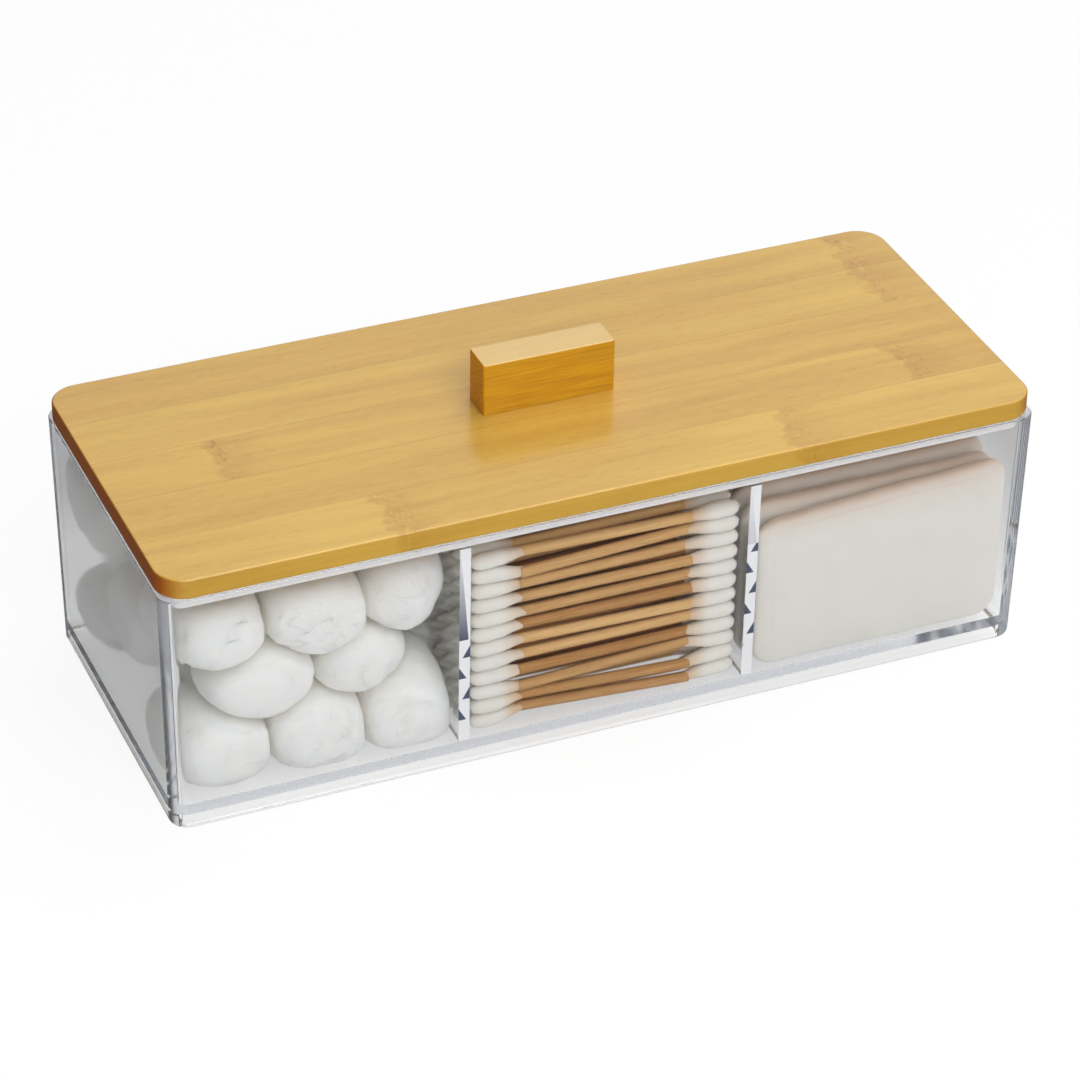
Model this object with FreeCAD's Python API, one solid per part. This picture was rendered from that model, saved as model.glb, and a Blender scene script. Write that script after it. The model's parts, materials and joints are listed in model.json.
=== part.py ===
"""Three-compartment clear cotton box with a lift-off bamboo lid, filled.

Frame: +Z up, +X along the box, +Y to the back, origin on the ground under the box's middle.
All lengths are in millimetres. Each piece is written as its own STEP file.
"""
import FreeCAD, Part
import math
import os

V = FreeCAD.Vector

# ---------------------------------------------------------------- driving dimensions
# Clear moulded tub
box_length = 240.0        # outside, at the rim
box_depth = 98.2          # outside, at the rim
rim_height = 69.9
wall_thickness = 3.5
wall_lean = 1.0           # each wall leans in by this much from the rim to the ground
outer_corner_radius = 5.0
inner_corner_radius = 1.5
floor_thickness = 3.2
foot_height = 3.2         # the floor is raised on a skirt of the walls' own thickness
bottom_edge_radius = 1.5
rim_edge_radius = 0.4

# Bonded clear dividers
divider_thickness = 3.0
middle_room = 77.0        # free width between the two dividers
bond_line = 0.15          # cement film round each divider
divider_gap = 0.25        # divider top to the lid's locating plate
divider_edge_radius = 0.3

# Bamboo lid board, glued up from strips
lid_inset = 0.3           # board edge inside the box's outer edge
lid_thickness = 5.7
lid_corner_radius = 8.0
lid_edge_radius = 0.6
lid_seat_gap = 0.1        # board to rim
strip_count = 5

# Clear locating plate under the board
plate_thickness = 3.6
plate_clearance = 0.5     # plate to the tub's inner walls
plate_corner_radius = 2.5

# Handle block and its two screws
handle_length = 36.8
handle_depth = 10.0
handle_height = 15.0
handle_corner_radius = 0.8
handle_edge_radius = 0.4
screw_spacing = 20.0
screw_length = 16.0
screw_point = 3.0
screw_radius = 1.7
screw_head_radius = 3.3
screw_head_height = 2.0
screw_clearance = 0.05
driver_slot_length = 3.6
driver_slot_width = 0.8
driver_slot_depth = 1.2
pilot_run_out = 0.8

# Loose cotton goods
cotton_gap = 0.3          # free space left round each soft piece
balls_across = 3          # balls of a full row, squeezed to share the room's width
ball_slices = 3           # slices of balls from front to back
ball_slice_gap = 3.0
ball_rows = 3
ball_headroom = 4.7       # top of the balls to the locating plate
swab_end_gap = 1.0
swab_stick_radius = 1.5
swab_bud_radius = 2.45
swab_bud_length = 12.0
swab_spacing = 0.25       # free space between neighbouring buds
swab_headroom = 4.6
layers_per_node = 2
pad_count = 15            # pads squeezed to share the room's depth
pad_side_gap = 1.0
pad_headroom = 10.0
pad_corner_radius = 6.0
pad_edge_radius = 1.2

# ---------------------------------------------------------------- derived places
floor_top = foot_height + floor_thickness
board_bottom = rim_height + lid_seat_gap
board_top = board_bottom + lid_thickness
plate_bottom = board_bottom - plate_thickness
divider_top = plate_bottom - divider_gap
divider_offset = (middle_room + divider_thickness) / 2


def lean_at(z):
    """How far a wall stands inside its place at the rim, at height z."""
    return wall_lean * (rim_height - z) / rim_height


def inner_half_length(z):
    return box_length / 2 - lean_at(z) - wall_thickness


def inner_half_depth(z):
    return box_depth / 2 - lean_at(z) - wall_thickness


def rounded_outline(length, depth, radius, z):
    """Closed wire of four lines and four quarter arcs, centred on the Z axis."""
    hx, hy = length / 2, depth / 2
    diag = radius * (1 - math.sqrt(0.5))
    corners = [(hx, hy, 1, 1), (-hx, hy, -1, 1), (-hx, -hy, -1, -1), (hx, -hy, 1, -1)]
    edges = []
    joins = []
    for x, y, sx, sy in corners:
        along_x = V(x - sx * radius, y, z)
        along_y = V(x, y - sy * radius, z)
        middle = V(x - sx * diag, y - sy * diag, z)
        first, last = (along_y, along_x) if sx * sy > 0 else (along_x, along_y)
        edges.append(Part.Arc(first, middle, last).toShape())
        joins.append((first, last))
    for k in range(4):
        edges.append(Part.makeLine(joins[k][1], joins[(k + 1) % 4][0]))
    return Part.Wire(Part.__sortEdges__(edges))


def leaning_block(half_length, half_depth, radius, z_low, z_high):
    """Solid between two rounded outlines, whose half sizes are functions of height."""
    wires = [rounded_outline(2 * half_length(z), 2 * half_depth(z), radius, z) for z in (z_low, z_high)]
    return Part.makeLoft(wires, True, True)


def upright_block(length, depth, radius, z_low, z_high):
    """Straight-sided rounded block centred on the Z axis."""
    face = Part.Face(rounded_outline(length, depth, radius, z_low))
    return face.extrude(V(0, 0, z_high - z_low))


def level_edges(shape, z):
    """Edges that lie wholly in the plane at height z."""
    return [e for e in shape.Edges if abs(e.BoundBox.ZMin - z) < 1e-4 and abs(e.BoundBox.ZMax - z) < 1e-4]


def save(name, shape):
    shape.exportStep("parts/" + name + ".step")


# ---------------------------------------------------------------- tub
def make_tub():
    """Drafted shell with a raised floor; the skirt below the floor is the foot."""
    def outer_half_length(z):
        return box_length / 2 - lean_at(z)

    def outer_half_depth(z):
        return box_depth / 2 - lean_at(z)

    body = leaning_block(outer_half_length, outer_half_depth, outer_corner_radius, 0, rim_height)
    body = body.makeFillet(bottom_edge_radius, level_edges(body, 0))
    room = leaning_block(inner_half_length, inner_half_depth, inner_corner_radius, floor_top, rim_height)
    recess = leaning_block(inner_half_length, inner_half_depth, inner_corner_radius, 0, foot_height)
    tub = body.cut(room).cut(recess)
    return tub.makeFillet(rim_edge_radius, level_edges(tub, rim_height))


# ---------------------------------------------------------------- dividers
def make_divider(x_centre):
    """Flat plate that follows the leaning front and back walls, bonded in place."""
    low = floor_top + bond_line
    y_low = inner_half_depth(low) - bond_line
    y_high = inner_half_depth(divider_top) - bond_line
    x = x_centre - divider_thickness / 2
    points = [V(x, -y_low, low), V(x, y_low, low), V(x, y_high, divider_top), V(x, -y_high, divider_top)]
    plate = Part.Face(Part.makePolygon(points + points[:1])).extrude(V(divider_thickness, 0, 0))
    return plate.makeFillet(divider_edge_radius, level_edges(plate, divider_top))


# ---------------------------------------------------------------- lid
def make_board():
    """The whole lid board, eased round its top and bottom edges."""
    length = box_length - 2 * lid_inset
    depth = box_depth - 2 * lid_inset
    board = upright_block(length, depth, lid_corner_radius, board_bottom, board_top)
    return board.makeFillet(lid_edge_radius, level_edges(board, board_top) + level_edges(board, board_bottom))


def screw_places():
    return [V(side * screw_spacing / 2, 0, plate_bottom) for side in (-1, 1)]


def screw_bore(place, clearance):
    """Countersunk hole from the plate's underside up into the handle."""
    head_r = screw_head_radius + clearance
    shank_r = screw_radius + clearance
    head = Part.makeCone(head_r, shank_r, screw_head_height, place)
    shank = Part.makeCylinder(shank_r, screw_length + pilot_run_out, place)
    return head.fuse(shank)


def drilled(shape):
    for place in screw_places():
        shape = shape.cut(screw_bore(place, screw_clearance))
    return shape


def make_strips():
    """The board cut lengthwise into its glued strips, front strip first."""
    board = drilled(make_board())
    depth = box_depth - 2 * lid_inset
    width = depth / strip_count
    strips = []
    for k in range(strip_count):
        slab = Part.makeBox(box_length, width, lid_thickness, V(-box_length / 2, k * width - depth / 2, board_bottom))
        strips.append(board.common(slab))
    return strips


def make_plate():
    """Clear plate that drops inside the tub's walls, over the dividers."""
    length = 2 * (inner_half_length(plate_bottom) - plate_clearance)
    depth = 2 * (inner_half_depth(plate_bottom) - plate_clearance)
    return drilled(upright_block(length, depth, plate_corner_radius, plate_bottom, board_bottom))


def make_handle():
    top = board_top + handle_height
    block = upright_block(handle_length, handle_depth, handle_corner_radius, board_top, top)
    return drilled(block.makeFillet(handle_edge_radius, level_edges(block, top)))


def make_screw(place):
    """Countersunk wood screw, head down, with a cross recess."""
    head = Part.makeCone(screw_head_radius, screw_radius, screw_head_height, place)
    shank = Part.makeCylinder(screw_radius, screw_length - screw_point, place)
    point_base = place + V(0, 0, screw_length - screw_point)
    point = Part.makeCone(screw_radius, 0, screw_point, point_base)
    screw = head.fuse(shank).fuse(point)
    for length, width in ((driver_slot_length, driver_slot_width), (driver_slot_width, driver_slot_length)):
        corner = place - V(length / 2, width / 2, 0)
        screw = screw.cut(Part.makeBox(length, width, driver_slot_depth, corner))
    return screw


# ---------------------------------------------------------------- cotton balls, left room
def make_balls():
    """Soft ellipsoids in staggered rows: slices of 3-2-3 and 2-3-2 balls, front to back."""
    x_low = -inner_half_length(floor_top)
    x_high = -divider_offset - divider_thickness / 2
    y_low = -inner_half_depth(floor_top)
    pitch_x = (x_high - x_low - cotton_gap) / balls_across
    half_x = (pitch_x - cotton_gap) / 2
    pitch_y = (-2 * y_low - 2 * cotton_gap + ball_slice_gap) / ball_slices
    half_y = (pitch_y - ball_slice_gap) / 2
    # rows nest like stacked pipes: equal half heights once the rise per half height is known
    reach = 2 + cotton_gap / half_x * 1.5
    rise = math.sqrt(reach ** 2 - (pitch_x / 2 / half_x) ** 2)
    stack = plate_bottom - ball_headroom - floor_top - cotton_gap
    half_z = stack / (2 + rise * (ball_rows - 1))
    stretch = FreeCAD.Matrix()
    stretch.scale(half_x, half_y, half_z)
    ball = Part.makeSphere(1.0).transformGeometry(stretch)
    balls = []
    for j in range(ball_slices):
        y = y_low + cotton_gap + half_y + j * pitch_y
        for row in range(ball_rows):
            fewer = (row + j) % 2
            for i in range(balls_across - fewer):
                x = x_low + cotton_gap / 2 + pitch_x * (i + 0.5 + fewer / 2)
                z = floor_top + cotton_gap + half_z * (1 + rise * row)
                balls.append(ball.translated(V(x, y, z)))
    return balls


# ---------------------------------------------------------------- cotton swabs, middle room
def make_swab():
    """One double-ended swab along X: a stick with a wound bud at each end."""
    half = middle_room / 2 - swab_end_gap
    stick_end = half - swab_bud_length
    profile = [
        (half, 0),
        (half - 0.08 * swab_bud_length, 0.62 * swab_bud_radius),
        (half - 0.25 * swab_bud_length, 0.95 * swab_bud_radius),
        (half - 0.45 * swab_bud_length, swab_bud_radius),
        (half - 0.75 * swab_bud_length, 0.85 * swab_bud_radius),
        (stick_end, swab_stick_radius),
    ]
    right = [V(x, 0, r) for x, r in profile]
    left = [V(-p.x, 0, p.z) for p in reversed(right)]
    outline = Part.makePolygon(right + left + right[:1])
    return Part.Face(outline).revolve(V(0, 0, 0), V(1, 0, 0), 360)


def make_swab_layers():
    """Layers of swabs, each nested in the hollows of the one below."""
    swab = make_swab()
    pitch_y = 2 * swab_bud_radius + swab_spacing
    pitch_z = pitch_y * math.sqrt(3) / 2
    room_y = 2 * inner_half_depth(floor_top) - 2 * cotton_gap
    room_z = plate_bottom - swab_headroom - floor_top - cotton_gap
    across = int((room_y - 2 * swab_bud_radius) / pitch_y) + 1
    layers = int((room_z - 2 * swab_bud_radius) / pitch_z) + 1
    result = []
    for layer in range(layers):
        count = across - layer % 2
        z = floor_top + cotton_gap + swab_bud_radius + layer * pitch_z
        ys = [pitch_y * (i - (count - 1) / 2) for i in range(count)]
        result.append([swab.translated(V(0, y, z)) for y in ys])
    return result


# ---------------------------------------------------------------- cotton pads, right room
def make_pads():
    """Upright rectangular pads with rounded corners, one behind the other."""
    x_low = divider_offset + divider_thickness / 2 + pad_side_gap
    x_high = inner_half_length(floor_top) - pad_side_gap
    z_low = floor_top + cotton_gap
    z_high = plate_bottom - pad_headroom
    front = -inner_half_depth(floor_top) + cotton_gap
    pitch = (2 * inner_half_depth(floor_top) - cotton_gap) / pad_count
    thickness = pitch - cotton_gap
    blank = upright_block(x_high - x_low, z_high - z_low, pad_corner_radius, 0, thickness)
    blank = blank.makeFillet(pad_edge_radius, level_edges(blank, 0) + level_edges(blank, thickness))
    blank.rotate(V(0, 0, 0), V(1, 0, 0), 90)
    middle = V((x_low + x_high) / 2, thickness, (z_low + z_high) / 2)
    return [blank.translated(middle + V(0, front + k * pitch, 0)) for k in range(pad_count)]


# ---------------------------------------------------------------- write every piece
os.makedirs("parts", exist_ok=True)

save("box_tub", make_tub())
save("left_divider", make_divider(-divider_offset))
save("right_divider", make_divider(divider_offset))

for number, strip in enumerate(make_strips(), 1):
    save("lid_strip_%d" % number, strip)
save("lid_locating_plate", make_plate())
save("lid_handle", make_handle())
save("handle_screws", Part.makeCompound([make_screw(place) for place in screw_places()]))

for number, ball in enumerate(make_balls(), 1):
    save("cotton_ball_%02d" % number, ball)

layers = make_swab_layers()
for number, first in enumerate(range(0, len(layers), layers_per_node), 1):
    bundle = [swab for layer in layers[first:first + layers_per_node] for swab in layer]
    save("cotton_swabs_%d" % number, Part.makeCompound(bundle))

for number, pad in enumerate(make_pads(), 1):
    save("cotton_pad_%02d" % number, pad)
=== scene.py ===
"""Clear three-compartment cotton box with a lift-off bamboo lid, dressed round its CAD frame.

Metres, +Z up, +X along the box, +Y to the back, origin on the ground under the box's middle.
"""
import json

import bmesh
import bpy
import numpy as np
from mathutils import Matrix, Vector

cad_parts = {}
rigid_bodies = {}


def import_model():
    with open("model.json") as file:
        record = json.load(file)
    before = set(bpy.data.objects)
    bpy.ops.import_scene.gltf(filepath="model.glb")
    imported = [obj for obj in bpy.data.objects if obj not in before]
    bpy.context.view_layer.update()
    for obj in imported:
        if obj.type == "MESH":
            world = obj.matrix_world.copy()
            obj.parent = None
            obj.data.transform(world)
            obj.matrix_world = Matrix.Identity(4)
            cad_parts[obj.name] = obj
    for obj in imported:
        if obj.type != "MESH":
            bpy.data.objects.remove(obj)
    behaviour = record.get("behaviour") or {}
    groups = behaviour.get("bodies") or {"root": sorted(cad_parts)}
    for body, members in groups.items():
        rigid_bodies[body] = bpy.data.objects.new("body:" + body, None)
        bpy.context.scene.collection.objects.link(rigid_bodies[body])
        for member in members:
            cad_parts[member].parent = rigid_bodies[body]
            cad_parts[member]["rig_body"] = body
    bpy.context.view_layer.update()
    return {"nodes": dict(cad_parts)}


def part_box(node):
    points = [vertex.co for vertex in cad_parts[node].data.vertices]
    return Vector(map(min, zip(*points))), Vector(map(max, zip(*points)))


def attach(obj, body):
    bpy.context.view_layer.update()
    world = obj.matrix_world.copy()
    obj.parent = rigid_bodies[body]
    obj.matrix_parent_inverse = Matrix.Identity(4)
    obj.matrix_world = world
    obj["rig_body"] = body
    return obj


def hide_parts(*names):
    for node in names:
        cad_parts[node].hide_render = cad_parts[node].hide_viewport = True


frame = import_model()
MM = 0.001

# ------------------------------------------------------------------ tub
# One moulded shell of water-clear plastic: four walls that lean in a little, a raised floor and
# the skirt below it that the box stands on. Its rim and foot are eased by the mould.
tub_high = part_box("box_tub")[1]
rim = tub_high.z
tub_lean = 1.0 * MM
tub_wall = 3.5 * MM
tub_outer_corner = 5.0 * MM
tub_inner_corner = 1.5 * MM
tub_foot = 3.2 * MM
tub_floor_top = 6.4 * MM
tub_bottom_round = 1.5 * MM
tub_rim_round = 0.4 * MM
EDGE_SUPPORT = 0.3 * MM      # a flat face keeps this margin beside a rounding, so that it shades flat


def rounded_rows(half_x, half_y, radius, z, steps=20):
    """Rows of rounded rectangles, as an array of rows by points by xyz.

    Each corner is a quarter circle about its own centre, and one more point stands on the straight
    just before and after it: centre + radius * (cos t, sin t), and that point moved along its tangent.
    """
    half_x, half_y, radius, z = (
        np.atleast_1d(np.asarray(v, float))[:, None] for v in (half_x, half_y, radius, z))
    points = []
    for quarter in range(4):
        t = np.linspace(quarter, quarter + 1, steps + 1)[None, :] * np.pi / 2
        sx, sy = ((1, 1), (-1, 1), (-1, -1), (1, -1))[quarter]
        x = sx * (half_x - radius) + radius * np.cos(t)
        y = sy * (half_y - radius) + radius * np.sin(t)
        along_x, along_y = -np.sin(t) * EDGE_SUPPORT, np.cos(t) * EDGE_SUPPORT
        x = np.hstack([x[:, :1] - along_x[:, :1], x, x[:, -1:] + along_x[:, -1:]])
        y = np.hstack([y[:, :1] - along_y[:, :1], y, y[:, -1:] + along_y[:, -1:]])
        points.append(np.stack([x, y, np.broadcast_to(z, x.shape)], -1))
    return np.concatenate(points, axis=1)


def ring_quads(rows, columns, first=0):
    """Quads between neighbouring rows of a grid whose rows close on themselves."""
    r, c = np.arange(rows - 1)[:, None], np.arange(columns)[None, :]
    n = (c + 1) % columns
    quads = np.stack([r * columns + c, r * columns + n, (r + 1) * columns + n, (r + 1) * columns + c], -1)
    return (quads.reshape(-1, 4) + first).tolist()


def new_object(name, data):
    made = bpy.data.objects.new(name, data)
    bpy.context.scene.collection.objects.link(made)
    return made


def add_piece(name, points, faces, body, material, crease=40.0):
    """A mesh object from points and faces: doubles merged, faces outward, smooth below the crease angle."""
    mesh = bpy.data.meshes.new(name)
    mesh.from_pydata(np.reshape(points, (-1, 3)).tolist(), [], faces)
    work = bmesh.new()
    work.from_mesh(mesh)
    bmesh.ops.remove_doubles(work, verts=work.verts, dist=1e-7)
    bmesh.ops.dissolve_degenerate(work, edges=work.edges, dist=1e-8)
    bmesh.ops.recalc_face_normals(work, faces=work.faces)
    work.to_mesh(mesh)
    work.free()
    mesh.shade_smooth()
    mesh.set_sharp_from_angle(angle=np.radians(crease))
    mesh.materials.append(material)
    piece = new_object(name, mesh)
    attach(piece, body)
    return piece


def add(tree, kind, inputs=None, **settings):
    """One shader node with its settings; an input is a plain value or another node's socket."""
    made = tree.nodes.new(kind)
    for key, value in settings.items():
        setattr(made, key, value)
    for key, value in (inputs or {}).items():
        if isinstance(value, bpy.types.NodeSocket):
            tree.links.new(value, made.inputs[key])
        else:
            made.inputs[key].default_value = value
    return made


def calc(tree, operation, a, b=0.0, clamp=False):
    return add(tree, "ShaderNodeMath", {0: a, 1: b}, operation=operation, use_clamp=clamp).outputs[0]


def new_material(name):
    material = bpy.data.materials.new(name)
    material.use_nodes = True
    material.node_tree.nodes.clear()
    return material, material.node_tree


plastic_ior = 1.49
plastic_shadow = (0.97, 0.97, 0.97, 1)       # what lamp light keeps on its way through a wall
plastic_depth = (0.42, 0.47, 0.54, 1)        # the slate tone of light that has run far inside


def clear_plastic(name, tint, roughness, density):
    """Refracting plastic that greys the light that runs a long way inside it.

    Lamp light, and light that has bounced off a matt surface, pass straight through it to the contents.
    """
    material, tree = new_material(name)
    plastic = add(tree, "ShaderNodeBsdfPrincipled", {
        "Base Color": tint, "Roughness": roughness, "IOR": plastic_ior, "Transmission Weight": 1.0})
    open_air = add(tree, "ShaderNodeBsdfTransparent", {"Color": plastic_shadow})
    path = add(tree, "ShaderNodeLightPath")
    passes = calc(tree, "MAXIMUM", path.outputs["Is Shadow Ray"], path.outputs["Is Diffuse Ray"])
    mix = add(tree, "ShaderNodeMixShader", {0: passes, 1: plastic.outputs[0], 2: open_air.outputs[0]})
    depth = add(tree, "ShaderNodeVolumeAbsorption", {"Color": plastic_depth, "Density": density})
    add(tree, "ShaderNodeOutputMaterial", {"Surface": mix.outputs[0], "Volume": depth.outputs[0]})
    return material


tub_plastic = clear_plastic("tub_plastic", tint=(0.985, 0.988, 0.99, 1), roughness=0.06, density=5.0)

bottom_turn = np.linspace(0, np.pi / 2, 15)
rim_turn = np.linspace(0, np.pi / 2, 7)
tub_rows = np.array(
    # height, distance inside the outer face, corner radius: from under the floor, round the skirt,
    # up the outer face, over the rim and down to the floor's top
    [(tub_foot, tub_wall, tub_inner_corner), (0, tub_wall, tub_inner_corner)]
    + [(0, tub_bottom_round + EDGE_SUPPORT, tub_outer_corner - tub_bottom_round - EDGE_SUPPORT)]
    + [(tub_bottom_round * (1 - np.cos(t)), tub_bottom_round * (1 - np.sin(t)),
        tub_outer_corner - tub_bottom_round * (1 - np.sin(t))) for t in bottom_turn]
    + [(tub_bottom_round + EDGE_SUPPORT, 0, tub_outer_corner),
       (rim - tub_rim_round - EDGE_SUPPORT, 0, tub_outer_corner)]
    + [(rim - tub_rim_round * (1 - np.sin(t)), tub_rim_round * (1 - np.cos(t)),
        tub_outer_corner - tub_rim_round * (1 - np.cos(t))) for t in rim_turn]
    + [(rim - tub_rim_round * (1 - np.cos(t)), tub_wall - tub_rim_round * (1 - np.sin(t)), tub_inner_corner)
       for t in rim_turn]
    + [(rim - tub_rim_round - EDGE_SUPPORT, tub_wall, tub_inner_corner),
       (tub_floor_top, tub_wall, tub_inner_corner)])
tub_z, tub_inset, tub_radius = tub_rows.T
tub_in = tub_inset + tub_lean * (rim - tub_z) / rim
tub_points = rounded_rows(tub_high.x - tub_in, tub_high.y - tub_in, tub_radius, tub_z)
tub_count, tub_columns = tub_points.shape[:2]
tub_caps = [list(range(tub_columns)), list(range((tub_count - 1) * tub_columns, tub_count * tub_columns))]
tub = add_piece(
    "tub", tub_points, ring_quads(tub_count, tub_columns) + tub_caps, "box", tub_plastic)
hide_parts("box_tub")

# ------------------------------------------------------------------ dividers
# Two flat sheets of the same clear plastic, cemented to the walls and the floor. Their cut edges
# show as white upright bands, with painted reflections on them: dark slate wedges and teeth.


def srgb(red, green, blue):
    """A colour written 0 to 255, as the linear value that a shader takes."""
    c = np.array([red, green, blue]) / 255
    linear = np.where(c <= 0.04045, c / 12.92, ((c + 0.055) / 1.055) ** 2.4)
    return (*linear.tolist(), 1.0)


def ramp(tree, value, low, high, to_low=0.0, to_high=1.0):
    return add(tree, "ShaderNodeMapRange", {
        "Value": value, "From Min": low, "From Max": high, "To Min": to_low, "To Max": to_high}).outputs[0]


def blend_color(tree, factor, low, high):
    """A colour between two, by a factor; each colour is plain or another node's socket."""
    mixed = add(tree, "ShaderNodeMix", {"Factor": factor, "A": low, "B": high}, data_type="RGBA")
    return mixed.outputs["Result"]


def face_normals(mesh):
    normals = np.zeros(len(mesh.polygons) * 3, np.float32)
    mesh.polygons.foreach_get("normal", normals)
    return normals.reshape(-1, 3)


# the cut edges' own white, and the slate of the painted reflections on them
edge_white, painted_reflection_slate = srgb(244, 245, 248), srgb(78, 86, 110)
wedge_width = 0.85           # of the edge's width, at the wedge's foot
tooth_width = 0.7            # of the edge's width, at the tooth's foot
tooth_height = 0.28          # of the pitch
tooth_pitch = 13.0 * MM


def edge_with_painted_reflections(name, middle, thickness, wedge_top, wedge_foot, wedge_dark, teeth_low, teeth_high):
    """White cut edge with dark marks: one long wedge that widens down to its foot, and teeth on both sides.

    The dark marks are painted reflections. Across the edge u runs 0 to 1. The long wedge is
    u < wedge width * fall, and darkens with the fall. A tooth is a right triangle, u < tooth width - rise,
    on the left side, and half a pitch off on the right.
    """
    material, tree = new_material(name)
    place = add(tree, "ShaderNodeSeparateXYZ", {0: add(tree, "ShaderNodeTexCoord").outputs["Object"]}).outputs
    u = ramp(tree, place["X"], middle - thickness / 2, middle + thickness / 2)
    fall = ramp(tree, place["Z"], wedge_top, wedge_foot)
    dark = calc(tree, "MULTIPLY", calc(tree, "LESS_THAN", u, calc(tree, "MULTIPLY", fall, wedge_width)),
                calc(tree, "GREATER_THAN", place["Z"], wedge_foot))
    dark = calc(tree, "MULTIPLY", dark, calc(tree, "MULTIPLY", fall, wedge_dark))
    toothed = calc(tree, "MULTIPLY", calc(tree, "GREATER_THAN", place["Z"], teeth_low),
                   calc(tree, "LESS_THAN", place["Z"], teeth_high))
    for shift, mirrored in ((0.0, False), (0.5, True)):
        turn_at = calc(tree, "FRACT", calc(tree, "ADD", calc(tree, "DIVIDE", place["Z"], tooth_pitch), shift))
        rise = ramp(tree, turn_at, 0.0, tooth_height, 0.0, tooth_width)
        across = calc(tree, "SUBTRACT", 1.0, u) if mirrored else u
        inside = calc(tree, "LESS_THAN", calc(tree, "ADD", across, rise), tooth_width)
        dark = calc(tree, "MAXIMUM", dark, calc(tree, "MULTIPLY", inside, toothed))
    # painted reflections: the dark marks turn the white edge to slate
    edge = add(tree, "ShaderNodeBsdfPrincipled", {
        "Base Color": blend_color(tree, dark, edge_white, painted_reflection_slate), "Roughness": 0.3})
    add(tree, "ShaderNodeOutputMaterial", {"Surface": edge.outputs[0]})
    return material


divider_plastic = clear_plastic("divider_plastic", tint=(0.98, 0.985, 0.99, 1), roughness=0.05, density=7.0)
# each edge: top, foot and darkness of its long wedge, and the lowest and highest place of its teeth
for node, *marks in (("left_divider", 68 * MM, 38 * MM, 1.0, 12 * MM, 38 * MM),
                     ("right_divider", 68 * MM, 48 * MM, 0.3, 16 * MM, 48 * MM)):
    sheet = frame["nodes"][node]
    sheet_low, sheet_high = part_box(node)
    sheet_middle, sheet_thickness = (sheet_low.x + sheet_high.x) / 2, sheet_high.x - sheet_low.x
    edge_look = edge_with_painted_reflections(node + "_edge", sheet_middle, sheet_thickness, *marks)
    sheet.data.materials.clear()
    sheet.data.materials.append(divider_plastic)
    sheet.data.materials.append(edge_look)
    cut_faces = np.abs(face_normals(sheet.data)[:, 1]) > 0.9
    sheet.data.polygons.foreach_set("material_index", cut_faces.astype(np.int32))

# ------------------------------------------------------------------ lid board
# Five bamboo strips glued edge to edge and lacquered satin. The fibres run along the board, and
# each strip has its own tone and the knuckles of its own cane.


def new_group(name, inputs, outputs):
    """A shader node group with named sockets; gives the tree, its input sockets and its output node."""
    group = bpy.data.node_groups.new(name, "ShaderNodeTree")
    for socket in inputs:
        made = group.interface.new_socket(socket, in_out="INPUT", socket_type="NodeSocketFloat")
        made.default_value = 0.0
    for socket, kind in outputs.items():
        group.interface.new_socket(socket, in_out="OUTPUT", socket_type=kind)
    return group, add(group, "NodeGroupInput").outputs, add(group, "NodeGroupOutput")


def stretched(tree, along, across, shift):
    """Object coordinates scaled per metre along and across the fibres, moved by a seed."""
    place = add(tree, "ShaderNodeTexCoord").outputs["Object"]
    moved = add(tree, "ShaderNodeVectorMath", {0: place, 1: shift}, operation="ADD").outputs[0]
    scale = (along, across, across)
    return add(tree, "ShaderNodeVectorMath", {0: moved, 1: scale}, operation="MULTIPLY").outputs[0]


def noise(tree, vector, detail=2.0, roughness=0.5, distortion=0.0):
    return add(tree, "ShaderNodeTexNoise", {
        "Vector": vector, "Scale": 1.0, "Detail": detail, "Roughness": roughness, "Distortion": distortion,
    }).outputs[0]


def total(tree, *terms):
    """The sum of (value, weight) pairs."""
    result = 0.0
    for value, weight in terms:
        result = calc(tree, "ADD", calc(tree, "MULTIPLY", value, weight), result)
    return result


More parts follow.
